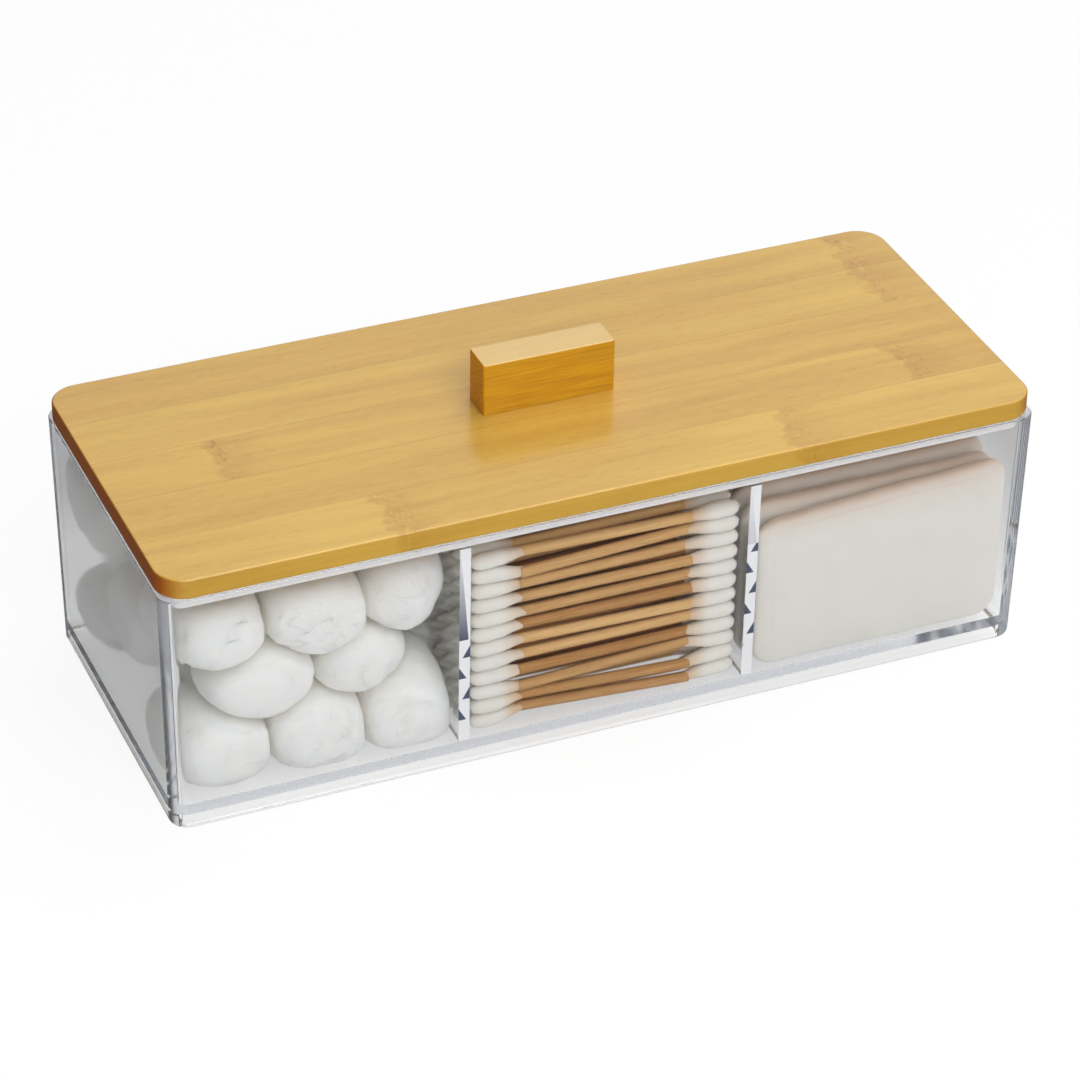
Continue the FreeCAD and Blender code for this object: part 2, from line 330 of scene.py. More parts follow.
def make_bamboo_group():
    """Fibres as noise drawn out along X; knuckles as a stain on one side of a step, crossed by short lines.

    All of it adds up to a depth, which blends from the cane's light tone to its dark one. The long side faces
    get painted shade, a darker brown, and Painted Shading deepens it further and paints a paler highlight on
    the top. A cut end is darker, partly as end grain that drinks its lacquer, so its coat is thin, and partly
    as painted shade. A thin glue line shows where two strips meet.
    """
    tree, given, out = new_group(
        "bamboo_grain", ["Seed", "Tone", "Side", "Knuckle A", "Knuckle B"],
        {"Color": "NodeSocketColor", "Roughness": "NodeSocketFloat", "Height": "NodeSocketFloat",
         "Coat": "NodeSocketFloat"})
    shift = add(tree, "ShaderNodeCombineXYZ", {
        0: given["Seed"], 1: calc(tree, "MULTIPLY", given["Seed"], 0.37), 2: 0.0}).outputs[0]
    drift = noise(tree, stretched(tree, 14, 150, shift), 2.0, 0.45, 0.6)
    streak = noise(tree, stretched(tree, 45, 1300, shift), 3.0, 0.6)
    fleck = noise(tree, stretched(tree, 260, 1700, shift), 1.0)
    light_fleck = ramp(tree, fleck, 0.62, 0.72)
    dark_fleck = ramp(tree, fleck, 0.38, 0.28)

    place = add(tree, "ShaderNodeSeparateXYZ", {0: add(tree, "ShaderNodeTexCoord").outputs["Object"]})
    waver = calc(tree, "SUBTRACT", noise(tree, stretched(tree, 60, 160, shift)), 0.5)
    waver = calc(tree, "MULTIPLY", waver, 0.012)
    crossing = noise(tree, stretched(tree, 620, 260, shift), 2.0, 0.6, 1.0)
    stain, near, pale = 0.0, 0.0, 0.0
    for name in ("Knuckle A", "Knuckle B"):
        away = calc(tree, "ADD", calc(tree, "SUBTRACT", place.outputs["X"], given[name]), waver)
        after = calc(tree, "MULTIPLY", ramp(tree, away, -0.0008, 0.0004),
                     ramp(tree, away, 0.003, 0.016, 1.0, 0.0))
        before = calc(tree, "MULTIPLY", ramp(tree, away, 0.0, -0.0012), ramp(tree, away, -0.034, -0.006))
        from_lines = calc(tree, "ABSOLUTE", calc(tree, "SUBTRACT", away, 0.0025))
        stain = calc(tree, "MAXIMUM", stain, after)
        pale = calc(tree, "MAXIMUM", pale, before)
        near = calc(tree, "MAXIMUM", near, ramp(tree, from_lines, 0.001, 0.0055, 1.0, 0.0))
    light_line = calc(tree, "MULTIPLY", near, ramp(tree, crossing, 0.58, 0.68))
    dark_line = calc(tree, "MULTIPLY", near, ramp(tree, crossing, 0.42, 0.32))

    depth = total(tree, (drift, 0.90), (streak, 0.30), (dark_fleck, 0.20), (light_fleck, -0.13),
                  (stain, 0.24), (pale, -0.12), (dark_line, 0.42), (light_line, -0.34))
    depth = calc(tree, "SUBTRACT", calc(tree, "SUBTRACT", depth, cane_paleness), given["Tone"], clamp=True)
    color = blend_color(tree, depth, cane_light, cane_dark)

    facing = add(tree, "ShaderNodeSeparateXYZ", {0: add(tree, "ShaderNodeNewGeometry").outputs["Normal"]})
    facing_x, facing_y = (calc(tree, "ABSOLUTE", facing.outputs[axis]) for axis in "XY")
    facing_up = facing.outputs["Z"]
    strip = calc(tree, "ADD", calc(tree, "DIVIDE", place.outputs["Y"], strip_width), 10.5)
    strip = calc(tree, "ABSOLUTE", calc(tree, "SUBTRACT", calc(tree, "FRACT", strip), 0.5))
    glue = calc(tree, "MULTIPLY", ramp(tree, strip, 0.487, 0.498), 0.35)
    color = blend_color(tree, calc(tree, "MULTIPLY", glue, facing_up), color, glue_brown)
    # painted shade: the long side faces are drawn towards a darker brown
    color = blend_color(tree, ramp(tree, facing_y, 0.5, 0.95, 0.0, 0.4), color, painted_side_shade_brown)

    side_streak = ramp(tree, streak, 0.22, 0.78)
    # painted shade on the long sides and a painted highlight on the top, as far as the painted shading asks
    painted_side_shade = calc(tree, "MULTIPLY", given["Side"], ramp(tree, facing_y, 0.5, 0.95))
    color = blend_color(tree, painted_side_shade, color, blend_color(tree, side_streak, *painted_deep_side_shade))
    top_painted_light = calc(tree, "MULTIPLY", given["Side"], ramp(tree, facing_up, 0.5, 0.95, 0.0, 0.45))
    color = blend_color(tree, top_painted_light, color, painted_top_highlight)
    # a cut end: darker end grain, deepened further by painted shade
    cut_end = ramp(tree, facing_x, 0.3, 0.9)
    sawn_and_shade = blend_color(tree, given["Side"], sawn_board_and_shade, blend_color(tree, side_streak, *sawn_block_and_shade))
    color = blend_color(tree, cut_end, color, sawn_and_shade)

    coat = calc(tree, "SUBTRACT", 1.0, calc(tree, "MULTIPLY", cut_end, 0.8))
    height = calc(tree, "SUBTRACT", streak, calc(tree, "MULTIPLY", dark_line, 0.5))
    for socket, value in (("Color", color), ("Roughness", ramp(tree, streak, 0.3, 0.7, 0.34, 0.46)),
                          ("Height", height), ("Coat", coat)):
        tree.links.new(value, out.inputs[socket])
    return tree


strip_low, strip_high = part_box("lid_strip_3")
strip_width = strip_high.y - strip_low.y
cane_light, cane_dark = srgb(224, 180, 70), srgb(180, 122, 8)
cane_paleness = 0.26         # taken off the depth, so that most of a strip is near the light tone
glue_brown = srgb(150, 100, 30)
# painted shade for the long sides, and a painted highlight for the top
painted_side_shade_brown = srgb(150, 116, 56)
painted_deep_side_shade = srgb(216, 162, 12), srgb(168, 110, 2)
painted_top_highlight = srgb(240, 210, 156)
# cut ends: the colour of end grain, darkened further by painted shade
sawn_block_and_shade = srgb(238, 170, 8), srgb(184, 114, 0)
sawn_board_and_shade = srgb(160, 74, 4)
bamboo_grain = make_bamboo_group()


def bamboo(name, seed, tone, side, knuckle_a, knuckle_b):
    """Lacquered bamboo of one cane: its seed, its tone, the depth of colour on its sides, and the places of
    its knuckles along X.
    """
    # side: how much painted shade the sides and ends take, and how much painted highlight the top takes
    material, tree = new_material(name)
    grain = add(tree, "ShaderNodeGroup", {
        "Seed": seed, "Tone": tone, "Side": side, "Knuckle A": knuckle_a, "Knuckle B": knuckle_b},
        node_tree=bamboo_grain).outputs
    bump = add(tree, "ShaderNodeBump", {"Height": grain["Height"], "Strength": 0.2, "Distance": 0.1 * MM})
    wood = add(tree, "ShaderNodeBsdfPrincipled", {
        "Base Color": grain["Color"], "Roughness": grain["Roughness"], "Normal": bump.outputs[0],
        "Specular IOR Level": 0.15, "Coat Weight": grain["Coat"], "Coat Roughness": 0.2})
    add(tree, "ShaderNodeOutputMaterial", {"Surface": wood.outputs[0]})
    return material


def smooth_copy(node, name, material, crease=30.0):
    """The CAD piece's own shape, its flat faces whole again, so that its rounded edges shade smoothly."""
    mesh = frame["nodes"][node].data.copy()
    mesh.materials.clear()
    mesh.materials.append(material)
    work = bmesh.new()
    work.from_mesh(mesh)
    bmesh.ops.remove_doubles(work, verts=work.verts, dist=1e-6)
    bmesh.ops.dissolve_limit(work, angle_limit=np.radians(0.4), verts=work.verts, edges=work.edges)
    work.to_mesh(mesh)
    work.free()
    mesh.shade_smooth()
    mesh.set_sharp_from_angle(angle=np.radians(crease))
    piece = new_object(name, mesh)
    flat = piece.modifiers.new("flat_faces_stay_flat", "WEIGHTED_NORMAL")
    flat.keep_sharp = True
    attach(piece, frame["nodes"][node]["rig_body"])
    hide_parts(node)
    return piece


NO_KNUCKLE = 1.0             # a place along X that no strip reaches
# the strips' painted shading: a little shade on their sides and a little highlight on their tops
strip_painted_shading = 0.12
# front to back: seed, tone and the knuckles' places along X
strip_looks = [(0.31, 0.16, -0.059, 0.051), (1.47, 0.00, 0.094, NO_KNUCKLE), (2.83, 0.02, -0.090, NO_KNUCKLE),
               (4.19, 0.03, 0.104, NO_KNUCKLE), (5.62, 0.00, 0.103, NO_KNUCKLE)]
for number, (seed, tone, knuckle_a, knuckle_b) in enumerate(strip_looks, 1):
    look = bamboo("bamboo_strip_%d" % number, seed, tone, strip_painted_shading, knuckle_a, knuckle_b)
    smooth_copy("lid_strip_%d" % number, "lid_strip_%d_board" % number, look)

# ------------------------------------------------------------------ handle and its screws
# A block of the same bamboo, stood on edge in the middle of the board and drawn down by two
# countersunk screws that come up through the plate and the board.
# the handle takes the full painted shading: dark sides and ends and a pale top
handle_bamboo = bamboo(
    "bamboo_handle", seed=7.4, tone=0.30, side=1.0, knuckle_a=NO_KNUCKLE, knuckle_b=NO_KNUCKLE)
smooth_copy("lid_handle", "handle_block", handle_bamboo)

screw_steel, steel_tree = new_material("screw_steel")
brushing = noise(steel_tree, stretched(steel_tree, 2500, 2500, (0, 0, 0)), 2.0)
steel = add(steel_tree, "ShaderNodeBsdfPrincipled", {
    "Base Color": (0.62, 0.62, 0.61, 1), "Metallic": 1.0,
    "Roughness": ramp(steel_tree, brushing, 0.3, 0.7, 0.25, 0.4)})
add(steel_tree, "ShaderNodeOutputMaterial", {"Surface": steel.outputs[0]})
frame["nodes"]["handle_screws"].data.materials.clear()
frame["nodes"]["handle_screws"].data.materials.append(screw_steel)

# ------------------------------------------------------------------ locating plate
# A clear sheet under the board that drops inside the walls and keeps the lid from sliding. Light
# runs along inside it, so its edge looks like a pale band all round, just under the bamboo; that band
# is painted light, a pale matt face on the sheet's upright edges.
plate_plastic = clear_plastic("plate_plastic", tint=(0.98, 0.985, 0.99, 1), roughness=0.05, density=2.0)
# painted light: the sheet's upright edges are a pale matt face
sawn_edge_and_painted_light, sawn_tree = new_material("sawn_edge_and_painted_light")
sawn_shader = add(sawn_tree, "ShaderNodeBsdfPrincipled", {
    "Base Color": (0.92, 0.92, 0.95, 1), "Roughness": 0.35})
add(sawn_tree, "ShaderNodeOutputMaterial", {"Surface": sawn_shader.outputs[0]})
plate = smooth_copy("lid_locating_plate", "plate_sheet", plate_plastic)
plate.data.materials.append(sawn_edge_and_painted_light)
upright_faces = np.abs(face_normals(plate.data)[:, 2]) < 0.5
plate.data.polygons.foreach_set("material_index", upright_faces.astype(np.int32))

# ------------------------------------------------------------------ cotton balls
# Loose balls of bleached cotton wool in the left room. They are soft, so each one bulges into the
# free space and is pressed flat where it meets the walls, the floor and its neighbours.
ball_nodes = sorted(n for n in frame["nodes"] if n.startswith("cotton_ball"))
ball_boxes = np.array([[list(corner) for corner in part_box(n)] for n in ball_nodes])
ball_centres = ball_boxes.mean(axis=1)
ball_half = ((ball_boxes[:, 1] - ball_boxes[:, 0]) / 2).mean(axis=0)
ball_room_low = ball_boxes[:, 0].min(axis=0)
ball_room_high = ball_boxes[:, 1].max(axis=0)
ball_stray = (1.0 * MM, 1.0 * MM, 0.8 * MM)      # how far a ball lies from its CAD place, at most
ball_weight_range = (0.86, 1.16)                 # a light ball is pushed small by a heavy one
ball_fullness = 1.34         # radius of a ball before it is squeezed, in half sizes
squeeze = 10.0               # the higher, the sharper the edge between two pressed faces
neighbour_reach = 3.4        # balls whose seats are farther apart than this don't touch, in half sizes


def waves(points, length, seed, count=9):
    """Smooth seeded noise, mostly from -1 to 1: the scaled mean of sine waves of one wavelength in many
    directions.
    """
    rng = np.random.default_rng(seed)
    headings = rng.normal(size=(count, 3))
    headings /= np.linalg.norm(headings, axis=1, keepdims=True)
    phases = rng.uniform(0, 2 * np.pi, count)
    return np.sin(points @ headings.T * (2 * np.pi / length) + phases).mean(axis=-1) * np.sqrt(count) / 1.6


def sphere_grid(rows, columns, seed):
    """Unit directions on rows by columns of latitude and longitude, turned at random."""
    lat = np.linspace(0, np.pi, rows)[:, None]
    lon = np.linspace(0, 2 * np.pi, columns, endpoint=False)[None, :]
    grid = np.stack([np.sin(lat) * np.cos(lon), np.sin(lat) * np.sin(lon), np.cos(lat) + 0 * lon], -1)
    turned = np.linalg.qr(np.random.default_rng(seed).normal(size=(3, 3)))[0]
    return grid @ turned


ball_rng = np.random.default_rng(41)
ball_seats = ball_centres + ball_rng.uniform(-1, 1, ball_centres.shape) * ball_stray
ball_weights = ball_rng.uniform(*ball_weight_range, len(ball_nodes))


def squeezed_ball(index, rows=72, columns=110):
    """A ball as a distance in each direction, in units of the balls' half sizes.

    The distance is the soft minimum, (sum of 1 / r^squeeze)^(-1/squeeze), of a lumpy, slightly long and
    twice folded sphere and of the distances to the faces that press on it: the room's sides, and the
    planes between it and its neighbours, which stand nearer to the lighter ball. A fine fuzz is added.
    """
    seat, weight = ball_seats[index], ball_weights[index]
    rays = sphere_grid(rows, columns, 100 + index)
    rng = np.random.default_rng(400 + index)
    long_axis, fold, second_fold = (v / np.linalg.norm(v) for v in rng.normal(size=(3, 3)))
    lumps = ball_fullness * weight + 0.05 * waves(rays, 1.7, 200 + index) + 0.02 * waves(rays, 0.8, 300 + index)
    lumps = lumps + 0.14 * (2 * (rays @ long_axis) ** 2 - 1)
    for axis, place, depth, width, seed in (
            (fold, 0.30, 0.06, 0.17, 600), (second_fold, -0.45, 0.04, 0.14, 650)):
        from_fold = rays @ axis - place + 0.15 * waves(rays, 1.3, seed + index)
        lumps = lumps - depth * np.exp(-(from_fold / width) ** 2)
    inverse = lumps ** -squeeze
    low, high = (ball_room_low - seat) / ball_half, (ball_room_high - seat) / ball_half
    for axis in range(3):
        for limit in (low[axis], high[axis]):
            facing = np.maximum(rays[..., axis] * np.sign(limit), 1e-6)
            inverse += (abs(limit) / facing) ** -squeeze
    for other, other_seat in enumerate(ball_seats):
        gap = (other_seat - seat) / ball_half
        apart = np.linalg.norm(gap)
        if 0 < apart < neighbour_reach:
            facing = np.maximum(rays @ (gap / apart), 1e-6)
            share = 0.5 + (weight ** 2 - ball_weights[other] ** 2) / (2 * apart ** 2)
            inverse += ((apart * share - 0.01) / facing) ** -squeeze
    points = rays * (inverse ** (-1 / squeeze))[..., None] * ball_half
    fuzz = (0.12 * MM * waves(points, 4.0 * MM, 500 + index, 14)
            + 0.05 * MM * waves(points, 1.8 * MM, 550 + index, 14))
    return seat + points + rays * fuzz[..., None]


fibres_per_ball = 420
fibre_length, fibre_lift, fibre_curl = (1.8, 5.5), (0.15, 0.85), (-1.8, 1.8)     # ranges in mm
fibre_radii = np.array([0.03, 0.035, 0.035, 0.03, 0.025, 0.015]) * MM            # from root to tip
fibre_sides = 3
fibre_clearance = 0.1 * MM
fibre_sink = 0.1 * MM        # how deep a fibre's root lies in the cotton
fibre_bend = 24 * MM         # twice the radius along which a fibre bends with the ball
loose_share = 0.45           # of the fibres, which stand off at their tip; the others lie down again


def loose_fibres(grid, seed, count):
    """Fine fibres on a ball: each one an arc over its surface, lifted along the normal and curled aside.

    A loose fibre's lift is lift * s^1.4 along its length s from 0 to 1, and another's is lift * sin(pi s).
    They are three-sided tubes with a ring for each radius. None is laid that would touch a wall.
    """
    rng = np.random.default_rng(seed)
    rows, columns = grid.shape[:2]
    row = np.clip((np.arccos(rng.uniform(-0.97, 0.97, count)) / np.pi * (rows - 1)).astype(int), 2, rows - 3)
    column = rng.integers(0, columns, count)
    root = grid[row, column]
    down = grid[row + 1, column] - grid[row - 1, column]
    across = grid[row, (column + 1) % columns] - grid[row, column - 1]
    normal = np.cross(down, across)
    normal /= np.linalg.norm(normal, axis=1, keepdims=True)
    normal *= np.sign(((root - grid.mean(axis=(0, 1))) * normal).sum(axis=1, keepdims=True))
    heading = np.cross(normal, rng.normal(size=(count, 3)))
    heading /= np.linalg.norm(heading, axis=1, keepdims=True)
    aside = np.cross(normal, heading)
    length, lift, curl = (
        rng.uniform(low, high, (count, 1)) * MM for low, high in (fibre_length, fibre_lift, fibre_curl))
    loose = rng.uniform(size=(count, 1)) < loose_share
    rings = len(fibre_radii)
    path = []
    for s in np.linspace(0, 1, rings):
        rise = np.where(loose, lift * s ** 1.4 - fibre_sink, lift * np.sin(np.pi * s) - fibre_sink)
        along = length * s
        path.append(root + heading * along + aside * curl * s ** 2 + normal * (rise - along ** 2 / fibre_bend))
    path = np.stack(path, axis=1)
    inside = (path > ball_room_low + fibre_clearance) & (path < ball_room_high - fibre_clearance)
    clear = inside.all(axis=(1, 2))
    path, normal, aside = path[clear], normal[clear], aside[clear]
    t = np.arange(fibre_sides) * 2 * np.pi / fibre_sides
    ring = np.cos(t)[None, :, None] * normal[:, None, :] + np.sin(t)[None, :, None] * aside[:, None, :]
    tubes = path[:, :, None, :] + ring[:, None, :, :] * fibre_radii[None, :, None, None]
    faces = []
    for first in range(0, len(tubes) * rings * fibre_sides, rings * fibre_sides):
        tip = first + (rings - 1) * fibre_sides
        faces += ring_quads(rings, fibre_sides, first)
        faces += [list(range(first, first + fibre_sides)), list(range(tip, tip + fibre_sides))]
    return tubes.reshape(-1, 3), faces


def make_cotton_group():
    """Matted fibres: fine twisted noise for the height, a slow drift for the tone."""
    tree, given, out = new_group(
        "cotton_fibres", ["Seed"], {"Color": "NodeSocketColor", "Height": "NodeSocketFloat"})
    seed = given["Seed"]
    shift = add(tree, "ShaderNodeCombineXYZ", {0: seed, 1: seed, 2: seed}).outputs[0]
    fibres = noise(tree, stretched(tree, 900, 900, shift), 6.0, 0.65, 2.0)
    tone = noise(tree, stretched(tree, 120, 120, shift), 2.0)
    both = calc(tree, "ADD", calc(tree, "MULTIPLY", fibres, 0.6), calc(tree, "MULTIPLY", tone, 0.4))
    color = blend_color(tree, ramp(tree, both, 0.3, 0.7), srgb(247, 244, 237), srgb(253, 252, 248))
    tree.links.new(color, out.inputs["Color"])
    tree.links.new(fibres, out.inputs["Height"])
    return tree


cotton_fibres = make_cotton_group()
cotton_grey = srgb(176, 172, 164)
wood_showing = srgb(206, 160, 100)
# painted shade: the warm tone of the lid's shadow and of the light its bamboo throws back
painted_lid_shade_warm = srgb(198, 160, 130)


def cotton(name, seed, relief, depth, grey=0.0, top_painted_light=0.0, thin=False):
    """Soft bleached cotton: light sinks in by a depth and comes out warmer; relief is the fibres' height.

    Grey tones it down. Top painted light is how far it takes a painted warm shade, standing in for the
    shadow of the lid above and the light its bamboo throws back, half of it where a face looks up and half
    of it high in the room. Thin cotton lets the wood under it show by the attribute of that name.
    """
    material, tree = new_material(name)
    fibres = add(tree, "ShaderNodeGroup", {"Seed": seed}, node_tree=cotton_fibres)
    color = blend_color(tree, grey, fibres.outputs["Color"], cotton_grey)
    if thin:
        bare = add(tree, "ShaderNodeAttribute", attribute_name="thin").outputs["Fac"]
        color = blend_color(tree, calc(tree, "MULTIPLY", bare, 0.75), color, wood_showing)
    if top_painted_light:
        facing = add(tree, "ShaderNodeSeparateXYZ", {0: add(tree, "ShaderNodeNewGeometry").outputs["Normal"]})
        place = add(tree, "ShaderNodeSeparateXYZ", {0: add(tree, "ShaderNodeTexCoord").outputs["Object"]})
        # painted shade: faces that look up, and places high in the room, take the lid's warm shadow tone
        painted_warm_shade = total(tree, (ramp(tree, facing.outputs["Z"], 0.1, 0.9), 0.5 * top_painted_light),
                     (ramp(tree, place.outputs["Z"], 0.044, 0.062), 0.5 * top_painted_light))
        color = blend_color(tree, painted_warm_shade, color, painted_lid_shade_warm)
    bump = add(tree, "ShaderNodeBump", {
        "Height": fibres.outputs["Height"], "Strength": 0.6, "Distance": relief})
    soft = add(tree, "ShaderNodeBsdfPrincipled", {
        "Base Color": color, "Roughness": 0.95, "Normal": bump.outputs[0],
        "Specular IOR Level": 0.1, "Sheen Weight": 0.4, "Sheen Roughness": 0.4,
        "Subsurface Weight": 1.0, "Subsurface Scale": depth})
    soft.inputs["Subsurface Radius"].default_value = (1.0, 0.88, 0.76)
    add(tree, "ShaderNodeOutputMaterial", {"Surface": soft.outputs[0]})
    return material


ball_cotton = cotton("ball_cotton", seed=0.2, relief=0.3 * MM, depth=18.0 * MM, grey=0.04)
for index, node in enumerate(ball_nodes):
    grid = squeezed_ball(index)
    fibres, fibre_faces = loose_fibres(grid, 1200 + index, fibres_per_ball)
    points = np.concatenate([grid.reshape(-1, 3), fibres])
    shift = grid.shape[0] * grid.shape[1]
    faces = ring_quads(*grid.shape[:2]) + [[corner + shift for corner in face] for face in fibre_faces]
    ball = add_piece(node + "_soft", points, faces, "box", ball_cotton, 180)
    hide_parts(node)

# ------------------------------------------------------------------ cotton swabs
# Thin bamboo sticks with a bud of cotton wound on each end, lying along the box in nested layers.
# Each CAD node holds two layers; the sticks lean a little, so the gaps between them vary.
swab_nodes = sorted(n for n in frame["nodes"] if n.startswith("cotton_swabs"))
swabs_low, swabs_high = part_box(swab_nodes[0])
swab_half_length = (swabs_high.x - swabs_low.x) / 2
bud_radius = 2.45 * MM
bud_length = 15.5 * MM
bud_pressed = 0.93          # the buds' height over their width, because they lie on one another
stick_radius = 1.45 * MM
stick_into_bud = 2.0 * MM
swab_gap = 0.25 * MM                            # between neighbours in a layer
swab_lean = (1.2 * MM, 0.75 * MM)                # of a stick's ends, across and up, at most
swab_shift = (0.5 * MM, 0.3 * MM)                # of the whole stick
bare_from, bare_fade = 7.0 * MM, 5.0 * MM        # the wood shows through a bud's root up to here
# painted shade: the sticks inside the heap are drawn darker than those that show
tone_shown, tone_in_painted_shade = (0, 0.8), (0.8, 1.2)   # ranges; the sticks inside the heap are darker
winding, winding_length = 0.05, 3.4 * MM         # unevenness of the wound cotton, as a share of the radius


def swab_places(node):
    """Centres (y, z) of a node's swabs: a full layer and above it one swab fewer, spread front to back."""
    low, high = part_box(node)
    across = int(round((high.y - low.y - 2 * bud_radius) / (2 * bud_radius + swab_gap))) + 1
    front, rear = low.y + bud_radius, high.y - bud_radius
    lower = [(y, low.z + bud_radius) for y in np.linspace(front, rear, across)]
    upper = [(y, high.z - bud_radius) for y in np.linspace(front, rear, across - 1)]
    return lower, upper


def rod_rings(x, radius, y, z, sides):
    """Rings about a line along X: each station has its own place (y, z) and radius."""
    t = np.linspace(0, 2 * np.pi, sides, endpoint=False)[None, :]
    x, radius, y, z = (np.broadcast_to(np.asarray(v, float), np.shape(x))[:, None] for v in (x, radius, y, z))
    return np.stack([x + 0 * t, y + radius * np.cos(t), z + radius * np.sin(t)], -1)


def bud_profile(stations):
    """Bud from the stick to the tip: a long taper up from the stick, widest past the middle, a round end.

    Along it s runs 0 to 1. The taper is the smooth step r^2 (3 - 2 r) of r = s / 0.58, and the end closes by
    sqrt(1 - e^2.2) of e = (s - 0.74) / 0.26, to a small flat tip.
    """
    s = np.linspace(0, 1, stations)
    rise = np.clip(s / 0.58, 0, 1)
    root = stick_radius - 0.08 * MM
    swell = root + (bud_radius - root) * rise * rise * (3 - 2 * rise)
    close = np.sqrt(np.clip(1 - np.clip((s - 0.74) / 0.26, 0, 1) ** 2.2, 0.003, 1))
    return s * bud_length, swell * close


def swab_bundle(places, seed, shown):
    """Sticks and buds of many swabs as (points, faces, values); a shown swab has finer rings.

    The value of a stick is its tone, drawn darker as painted shade for a stick inside the heap, and that
    of a bud is how bare it is near its root.
    """
    rng = np.random.default_rng(seed)
    half = swab_half_length
    sticks, buds = ([], [], []), ([], [], [])

    def append(store, rings, tone):
        first = sum(len(p) for p in store[0])
        rows, sides = rings.shape[:2]
        store[0].append(rings.reshape(-1, 3))
        store[1].extend(ring_quads(rows, sides, first))
        store[1].append([first + i for i in range(sides)])
        store[1].append([first + (rows - 1) * sides + i for i in range(sides)])
        store[2].append((np.ones((rows, sides)) * np.reshape(tone, (-1, 1))).ravel())

    for number, ((y, z), fine) in enumerate(zip(places, shown)):
        lean_y, lean_z = rng.uniform(-1, 1, 2) * swab_lean
        shift_y, shift_z = rng.uniform(-1, 1, 2) * swab_shift
        # a hidden stick takes a darker tone, as painted shade
        tone = rng.uniform(*(tone_shown if fine else tone_in_painted_shade))
        reach = half - bud_length + stick_into_bud
        x = np.linspace(-reach, reach, 5 if fine else 2)
        bend = x / reach
        thick = stick_radius if fine else stick_radius * 1.12
        stick_y, stick_z = y + shift_y + lean_y * bend, z + shift_z + lean_z * bend
        append(sticks, rod_rings(x, thick, stick_y, stick_z, 12 if fine else 6), tone)
        for side in (-1, 1):
            along, radius = bud_profile(18 if fine else 6)
            radius = radius * rng.uniform(0.95, 1.0)
            root_y, root_z = y + (shift_y + lean_y * side) * 0.9, z + (shift_z + lean_z * side) * 0.9
            settle = np.clip(along / bud_length * 1.6, 0, 1)
            ring_y, ring_z = root_y + (y - root_y) * settle, root_z + (z - root_z) * settle
            rings = rod_rings(side * (half - bud_length + along), radius, ring_y, ring_z, 16 if fine else 7)
            core = rings.mean(axis=1, keepdims=True)
            wound = 1.0
            if fine:
                wound_seed = seed * 100 + number * 2 + side
                wound = 1 + winding * waves(rings, winding_length, wound_seed)[..., None]
            bare = np.clip((bare_from - along) / bare_fade, 0, 1) * rng.uniform(0.5, 1)
            append(buds, core + (rings - core) * wound * (1, 1, bud_pressed), bare)
    return sticks, buds


stick_wood, stick_tree = new_material("stick_wood")
stick_tone_and_shade = add(stick_tree, "ShaderNodeAttribute", attribute_name="tone").outputs["Fac"]
stick_fibre = noise(stick_tree, stretched(stick_tree, 60, 2400, (0, 0, 0)), 3.0, 0.6)
stick_depth = calc(stick_tree, "ADD", calc(stick_tree, "MULTIPLY", stick_tone_and_shade, 0.55),
                   calc(stick_tree, "MULTIPLY", stick_fibre, 0.6))
stick_color = blend_color(
    stick_tree, ramp(stick_tree, stick_depth, 0.1, 1.0), srgb(232, 192, 134), srgb(144, 86, 26))
stick_bump = add(stick_tree, "ShaderNodeBump", {"Height": stick_fibre, "Strength": 0.4, "Distance": 0.1 * MM})
stick_shader = add(stick_tree, "ShaderNodeBsdfPrincipled", {
    "Base Color": stick_color, "Roughness": 0.6, "Normal": stick_bump.outputs[0], "Specular IOR Level": 0.12})
add(stick_tree, "ShaderNodeOutputMaterial", {"Surface": stick_shader.outputs[0]})

bud_cotton = cotton("bud_cotton", seed=3.1, relief=0.2 * MM, depth=2.0 * MM, grey=0.36, thin=True)
for layer, node in enumerate(swab_nodes):
    lower, upper = swab_places(node)
    places = lower + upper
    outer_layer = layer in (0, len(swab_nodes) - 1)
    shown = [outer_layer or i in (0, len(row) - 1) for row in (lower, upper) for i in range(len(row))]
    stick_store, bud_store = swab_bundle(places, 900 + layer, shown)
    for store, kind, slot, look, mark in ((stick_store, "sticks", "swab_stick", stick_wood, "tone"),
                                          (bud_store, "buds", "cotton", bud_cotton, "thin")):
        piece = add_piece("%s_%s" % (node, kind), np.concatenate(store[0]), store[1], "box", look, 70)
        share = piece.data.attributes.new(mark, "FLOAT", "POINT")
        share.data.foreach_set("value", np.concatenate(store[2]).astype(np.float32))
        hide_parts(node)

# ------------------------------------------------------------------ cotton pads
# Rectangular pads of pressed cotton standing one behind the other in the right room. They are
# held by their number only, so their tops sag and lean by different amounts.
pad_nodes = sorted(n for n in frame["nodes"] if n.startswith("cotton_pad"))
pad_corner = 6.0 * MM
pad_columns_per_corner = 12
pad_span = 2.5 * MM          # of the grid along the straight sides
pad_rim_from = 0.85          # the flat face's rings end here, and the rounding begins
pad_drop_mm = 2.5            # of a pad's two top corners, at most; the front pad has its own
front_pad_drops = 5.0 * MM, 0.3 * MM
# the pads' tops carry the painted warm shade of the lid above them
pad_cotton = cotton("pad_cotton", seed=5.7, relief=0.18 * MM, depth=2.0 * MM, grey=0.34, top_painted_light=0.7)


